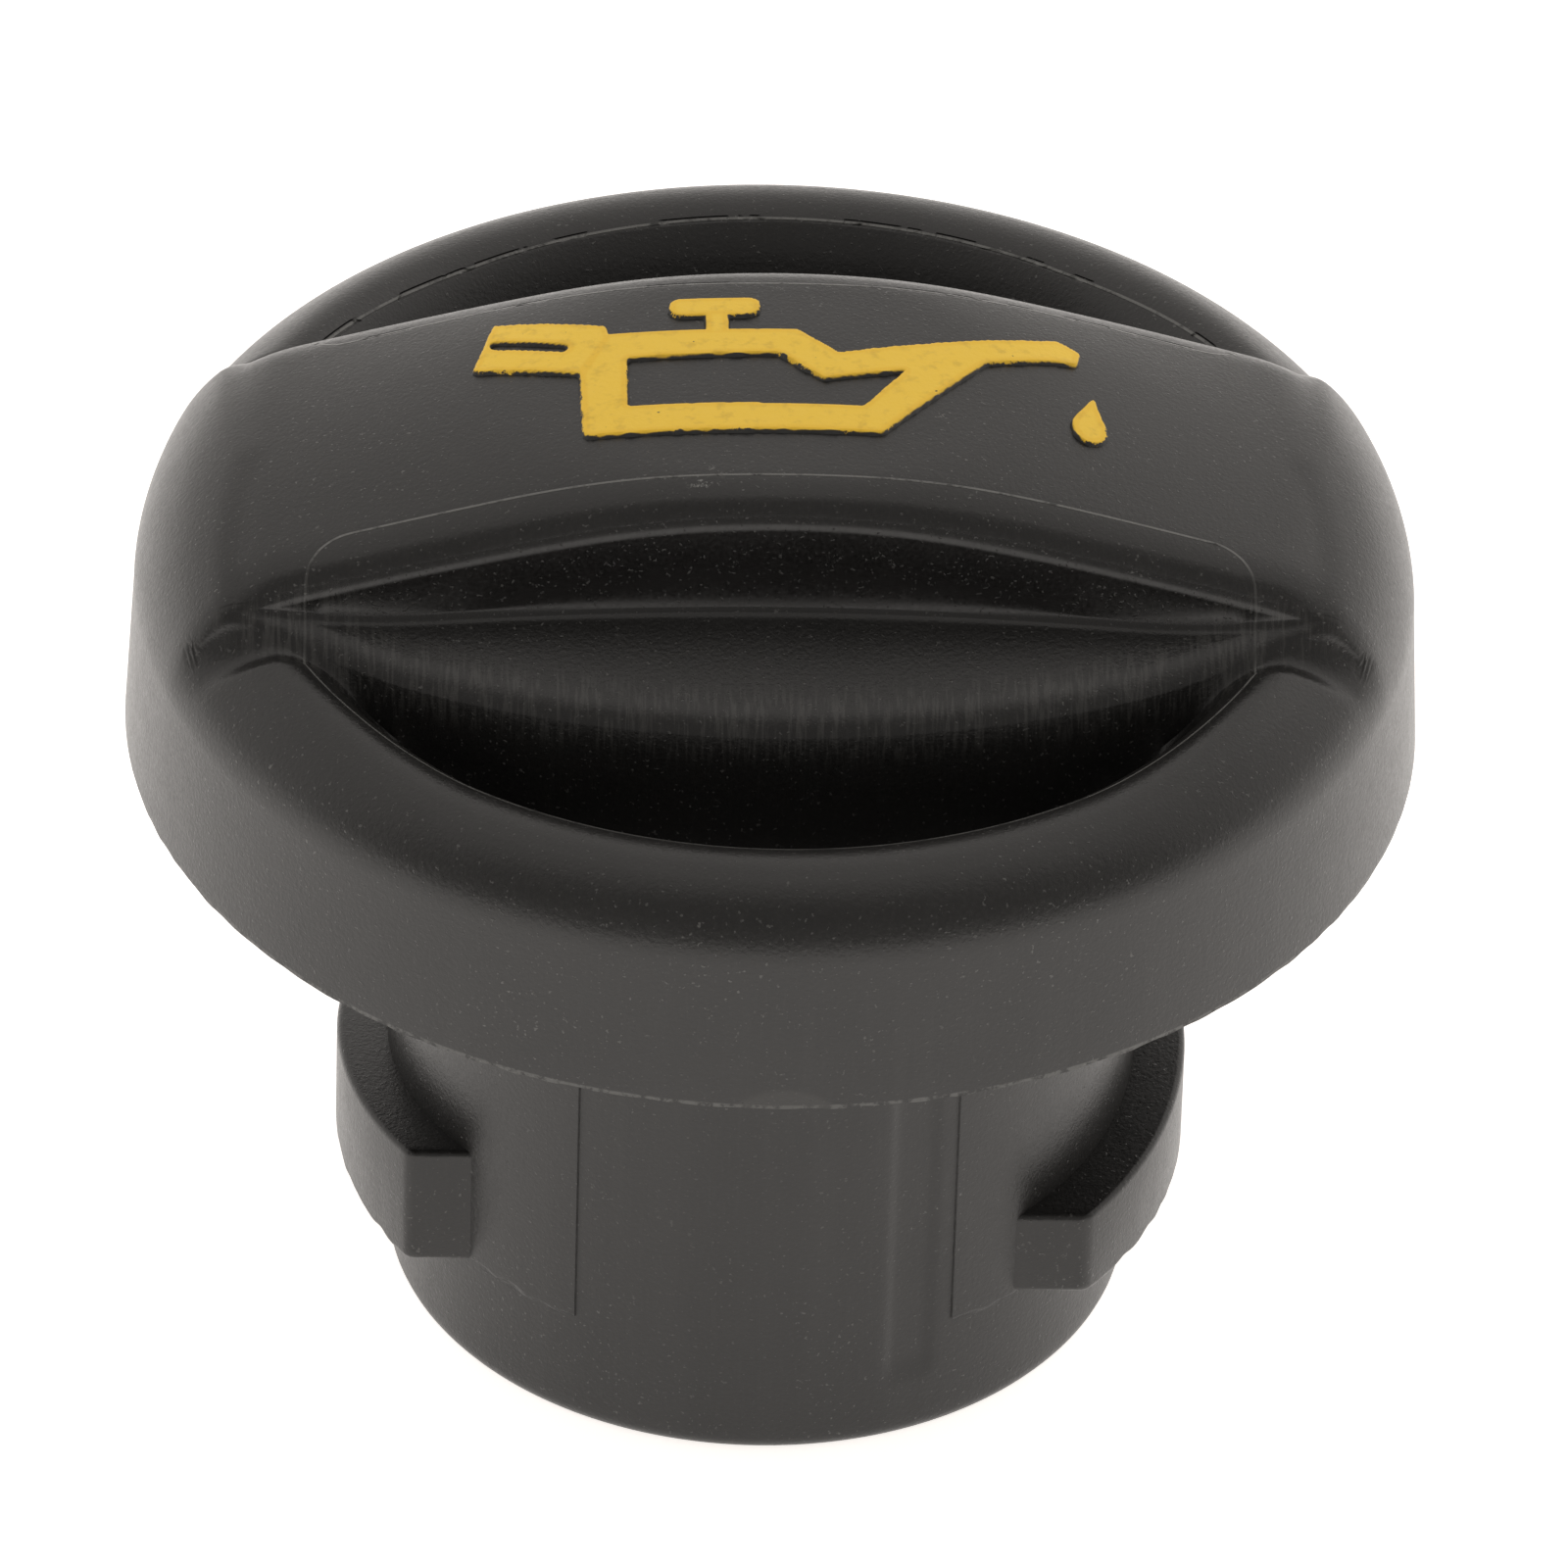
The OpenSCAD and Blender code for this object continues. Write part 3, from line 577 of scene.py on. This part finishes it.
class Finish:
    def __init__(self, name):
        self.material = bpy.data.materials.new(name)
        self.material.use_nodes = True
        self.tree = self.material.node_tree
        self.tree.nodes.clear()
        self.place = self.node("TexCoord", {}, [], 3)
        parts = [self.node("SeparateXYZ", {}, [self.place], k) for k in range(3)]
        self.x, self.y, self.z = [p * 1000 for p in parts]

    def node(self, kind, settings, values, output=0):
        # any node: its settings, then the values or links of its sockets, by order or by name
        made = self.tree.nodes.new("ShaderNode" + kind)
        for key, value in settings.items():
            setattr(made, key, value)
        for key, value in (enumerate(values) if isinstance(values, list) else values.items()):
            socket = made.inputs[key]
            if isinstance(value, Wire):
                self.tree.links.new(value.socket, socket)
            else:
                socket.default_value = value
        return Wire(self, made.outputs[output]) if made.outputs else made

    def noise(self, perMm, detail=2, rough=0.5, stretch=(1, 1, 1), shift=0):
        place = self.node("Mapping", {}, {"Vector": self.place, "Scale": [1000 * k for k in stretch],
                                          "Location": (shift, shift, shift)})
        values = {"Vector": place, "Scale": perMm, "Detail": detail, "Roughness": rough}
        return self.node("TexNoise", {}, values)

    def spot(self, x, y, r):
        # 1 at a place in plan, 0 from distance r on
        acrossX, acrossY = self.x - x, self.y - y
        return (acrossX * acrossX + acrossY * acrossY).root().ramp(r, r / 2)

    def mix(self, share, a, b):
        return self.node("Mix", {"data_type": "RGBA"}, {0: share, 6: a, 7: b}, 2)

    def surface(self, values, bumps):
        # a Principled shader; each bump is a height in millimetres over the last one's normal
        normal = {}
        for height, strength in bumps:
            links = {"Height": height * 0.001, "Distance": 1, "Strength": strength}
            normal = {"Normal": self.node("Bump", {}, links | normal)}
        shader = self.node("BsdfPrincipled", {}, values | normal)
        self.node("OutputMaterial", {}, [shader])
        return self.material


# the streak colour is a painted highlight along the crests
plasticColours = {
    "body": (0.0075, 0.0072, 0.0067, 1), "worn": (0.0115, 0.011, 0.0103, 1), "speck": (0.2, 0.2, 0.19, 1),
    "line": (0.2, 0.2, 0.19, 1), "brushed": (0.018, 0.0175, 0.0165, 1),
    "gate": (0.045, 0.044, 0.04, 1), "streak": (0.05, 0.049, 0.046, 1),
    "shadow": (0.001, 0.001, 0.001, 1), "roughness": 0.33,
}

partingForm = {"insertEdge": 8.17, "insertEnd": 23.5, "insertRadius": 26.85, "cornerRound": 2.2,
               "half": 0.04, "soft": 0.05, "lowest": (9.3, 9.9), "rearEdge": 9.7,
               "scratches": [(-3.9, -8.3, 1.1), (-23.1, -7.6, 0.5)]}
gateForm = {"middle": 0.2, "height": 1.3, "curve": 0.16}


def makePlastic(name, colours):
    f = Finish(name)
    radius = (f.x * f.x + f.y * f.y).root()
    height = f.z - headBase
    cloud, grain = f.noise(0.12, 3, 0.6), f.noise(4.5, 3, 0.6)
    colour = f.mix(cloud.ramp(0.35, 0.7) * 0.6, colours["body"], colours["worn"])
    dense = f.noise(0.15, 2, 0.5, shift=7).ramp(0.3, 0.7)
    brush = f.noise(5, 2, 0.6, stretch=(1, 0.1, 0.1), shift=13)
    spots = f.noise(4.6, 1, 0.5, shift=3).ramp(0.66, 0.78)
    colour = f.mix(spots * (0.25 + 0.75 * dense) * 0.4, colour, colours["speck"])
    colour = f.mix(brush.ramp(0.5, 0.8) * 0.35, colour, colours["brushed"])
    colour = f.mix(grain.ramp(0.45, 0.75) * 0.3, colour, colours["brushed"])

    # streaks: short brush streaks over the crests, lightened there as a painted highlight where the crests
    # catch the light, and long faint worn ones down the neck and the skirt
    fromArc = abs(f.y) + crestOffset
    q = headForm["crestPlanRadius"] - (f.x * f.x + fromArc * fromArc).root()
    crest = q.near(0.5, 0.8, 1.8) * height.ramp(10, 11.5) * abs(f.y).ramp(9.8, 10.8)
    # painted highlight: lighter brush streaks along the shelves' crests
    colour = f.mix(crest * brush.ramp(0.45, 0.65) * 0.55, colour, colours["streak"])
    streak = f.noise(0.45, 3, 0.6, stretch=(1, 1, 0.05), shift=37).ramp(0.5, 0.7)
    colour = f.mix(streak * height.ramp(9, 4) * 0.3, colour, colours["brushed"])

    # parting lines: the outline, in plan, of the mould's two inserts, which shape the bar's flanks,
    # shelves and scoops
    broken = f.noise(0.9, 3, 0.7, shift=11).ramp(0.3, 0.5)
    corner = partingForm["cornerRound"]
    inX, inY = partingForm["insertEnd"] - corner - abs(f.x), abs(f.y) - partingForm["insertEdge"] - corner
    outX, outY = (0 - inX).most(0), (0 - inY).most(0)
    box = (outX * outX + outY * outY).root() - inX.least(inY).most(0) - corner
    insert = box.most(radius - partingForm["insertRadius"])
    faint = abs(f.y).ramp(8.6, 9.6) * radius.ramp(26.7, 26.3)
    high = height.ramp(*partingForm["lowest"])
    lines = insert.near(0, partingForm["half"], partingForm["soft"]) * high * (1 - 0.75 * faint)
    colour = f.mix(lines * broken * 0.6, colour, colours["line"])

    # torn flash: dark stretches of the line at the rear, light crumbs on the bar's rear edge
    torn = insert.near(0, 0.1, 0.08) * high * f.y.ramp(5, 8)
    torn = torn * f.noise(0.35, 3, 0.6, shift=17).ramp(0.5, 0.56)
    crumbs = f.y.near(partingForm["rearEdge"], 0.1, 0.1) * f.noise(1.4, 3, 0.7, shift=19).ramp(0.54, 0.6)
    crumbs = crumbs * height.ramp(13, 14)
    first, second = [f.spot(*place) for place in partingForm["scratches"]]
    scratched = first.most(second) * height.ramp(11, 12)
    crumbs = crumbs.most(scratched * f.noise(1.8, 3, 0.7, shift=23).ramp(0.58, 0.64))
    colour = f.mix(crumbs * 0.8, colour, colours["line"])

    # the bar's flanks are smooth, and a dark ragged line of painted shadow runs under the slide faces
    flank = abs(f.y).near(headForm["flank"] + 0.1, 0.25, 0.1) * height.ramp(13, 14)
    ragged = (f.noise(0.9, 3, 0.7, shift=29) - 0.5) * 0.7
    under = (f.z + ragged).near(roundForm["slideBase"] - 0.1, 0.05, 0.06)
    under = under * abs(f.x).ramp(9.4, 9.6) * radius.ramp(19.5, 19.3) * radius.ramp(17.5, 18)
    colour = f.mix(under * 0.8, colour, colours["shadow"])

    # the flash along the skirt's lower edge, and the gate's mark at its front
    flash = radius.ramp(31.9, 32.2) * height.near(-0.05, 0.16, 0.1)
    flash = flash * f.noise(1.6, 3, 0.7, shift=5).ramp(0.4, 0.55)
    colour = f.mix(flash * 0.35, colour, colours["line"])
    across = f.x - gateForm["middle"]
    gate = (gateForm["height"] - height - across * across * gateForm["curve"]).ramp(0, 0.5)
    gate = gate * f.y.ramp(-31, -32)
    colour = f.mix(gate * 0.35, colour, colours["gate"])
    rough = colours["roughness"] + (f.noise(0.8, 3, 0.6, shift=2) - 0.5) * 0.1 + (grain - 0.5) * 0.25
    rough = rough - flank * 0.12
    fine = grain * (0.026 - 0.024 * flank) + spots * 0.014 + lines * 0.03 - torn * 0.15
    return f.surface({"Base Color": colour, "Roughness": rough, "Specular IOR Level": 0.5}, [(fine, 1.0)])


yellowColours = {"paint": (0.9, 0.56, 0.025, 1), "pale": (0.94, 0.63, 0.05, 1), "shade": (0.5, 0.29, 0.02, 1),
                 "plastic": (0.02, 0.02, 0.019, 1)}
chipPlaces = [(-14.4, 1.9, 1.8), (-10, -1.5, 2.6), (0.8, 0.9, 1.6), (16.2, -2.2, 1)]


def makeYellow(name, colours):
    f = Finish(name)
    inside = 0 - f.node("Attribute", {"attribute_name": "outlineDistance"}, [], 2)
    chipped = f.noise(0.35, 2, 0.5, shift=8).ramp(0.56, 0.66)
    for place in chipPlaces:
        chipped = chipped.most(f.spot(*place))
    rag = (f.noise(2.4, 3, 0.7) - 0.5) * (0.06 + 0.5 * chipped)
    colour = f.mix(inside.ramp(0.25, 0.45) * 0.7, colours["paint"], colours["pale"])
    colour = f.mix(f.noise(1.3, 3, 0.6, shift=4).ramp(0.5, 0.75) * 0.35, colour, colours["shade"])
    speck = f.noise(2.6, 1, 0.5, shift=9).ramp(0.76, 0.8)
    bare = (1 - (inside + rag).ramp(0, 0.06)).most(speck)
    colour = f.mix(bare, colour, colours["plastic"])
    rough = 0.45 + f.noise(1.1, 2) * 0.15
    return f.surface({"Base Color": colour, "Roughness": rough, "Specular IOR Level": 0.5},
                     [(f.noise(3.5, 3, 0.6, shift=6) * 0.02, 1.0)])


def makeRubber(name):
    f = Finish(name)
    colour = f.mix(f.noise(0.5, 3, 0.6), (0.016, 0.016, 0.017, 1), (0.028, 0.028, 0.029, 1))
    return f.surface({"Base Color": colour, "Roughness": 0.6 + f.noise(0.7, 2) * 0.2},
                     [(f.noise(6, 2) * 0.01, 1.0)])


def paint(piece, material):
    if piece.material_slots:
        piece.material_slots[0].material = material
    else:
        piece.data.materials.append(material)


paint(capShell, makePlastic("mattePlastic", plasticColours))
markPaint = makeYellow("markPaint", yellowColours)
paint(oilCanMark, markPaint)
paint(oilDropMark, markPaint)
paint(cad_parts["seal_ring"], makeRubber("sealRubber"))
print("stage: finishes made")


# Floor, light and camera

studio = {"floor": 4.0, "floorColour": (0.93, 0.93, 0.93, 1), "floorGlow": 0.85,
          "tint": (1, 0.955, 0.915, 1), "low": 1.02, "high": 0.93, "front": 0.4,
          "lights": [("right", (0.6, 0.6, 0.6), (0, 0, 0.03), 0.6, 0.3)]}
view = {"azimuth": -1.9, "elevation": 36.54, "distance": 900, "roll": 1.715, "lens": 410.1,
        "target": (0, 0, 32.7), "aimRight": 0.787, "aimUp": -3.578}

floorData = bpy.data.meshes.new("studioFloor")
half = studio["floor"] / 2
corners = [(-half, -half, 0), (half, -half, 0), (half, half, 0), (-half, half, 0)]
floorData.from_pydata(corners, [], [(0, 1, 2, 3)])
floor = bpy.data.objects.new("studioFloor", floorData)
scene.collection.objects.link(floor)
paint(floor, Finish("palePaper").surface({"Base Color": studio["floorColour"], "Roughness": 0.9,
                                          "Emission Color": studio["tint"],
                                          "Emission Strength": studio["floorGlow"]}, []))

for name, place, target, size, power in studio["lights"]:
    data = bpy.data.lights.new(name, "AREA")
    data.shape, data.size, data.energy, data.color = "DISK", size, power, studio["tint"][:3]
    light = bpy.data.objects.new(name, data)
    light.matrix_world = (Matrix.Translation(place)
                          @ (Vector(place) - Vector(target)).to_track_quat("Z", "Y").to_matrix().to_4x4())
    scene.collection.objects.link(light)


def makeWorld(form):
    # a light tent: bright round the sides and back, dimmer towards the top, open and dark towards the front
    world = bpy.data.worlds.new("studioWorld")
    world.use_nodes = True
    nodes, links = world.node_tree.nodes, world.node_tree.links

    def ramp(source, low, high, atLow, atHigh):
        made = nodes.new("ShaderNodeMapRange")
        made.interpolation_type = "SMOOTHSTEP"
        links.new(source, made.inputs["Value"])
        for key, value in (("From Min", low), ("From Max", high), ("To Min", atLow), ("To Max", atHigh)):
            made.inputs[key].default_value = value
        return made.outputs["Result"]

    parts, product = nodes.new("ShaderNodeSeparateXYZ"), nodes.new("ShaderNodeMath")
    links.new(nodes.new("ShaderNodeTexCoord").outputs["Generated"], parts.inputs[0])
    product.operation = "MULTIPLY"
    links.new(ramp(parts.outputs["Z"], 0.15, 0.8, form["low"], form["high"]), product.inputs[0])
    links.new(ramp(parts.outputs["Y"], -0.5, 0.05, form["front"], 1), product.inputs[1])
    links.new(product.outputs[0], nodes["Background"].inputs["Strength"])
    nodes["Background"].inputs["Color"].default_value = form["tint"]
    return world


scene.world = makeWorld(studio)
scene.view_settings.view_transform = "Standard"


def makeCamera(form):
    turn, rise, roll = (math.radians(form[k]) for k in ("azimuth", "elevation", "roll"))
    right = Vector((math.cos(turn), math.sin(turn), 0))
    ahead = Vector((-math.sin(turn), math.cos(turn), 0))
    back = Vector((0, 0, math.sin(rise))) - ahead * math.cos(rise)
    up = back.cross(right)
    place = Vector(form["target"]) + back * form["distance"]
    aim = Vector(form["target"]) + right * form["aimRight"] + up * form["aimUp"]
    back = (place - aim).normalized()
    side = (right * math.cos(roll) + up * math.sin(roll))
    side = (side - back * side.dot(back)).normalized()
    rotation = Matrix((side, back.cross(side), back)).transposed().to_4x4()
    data = bpy.data.cameras.new("photoView")
    data.sensor_width, data.lens = 36, form["lens"]
    camera = bpy.data.objects.new("photoView", data)
    camera.matrix_world = Matrix.Translation(place * mm) @ rotation
    scene.collection.objects.link(camera)
    return camera


scene.camera = makeCamera(view)
print("stage: studio made")
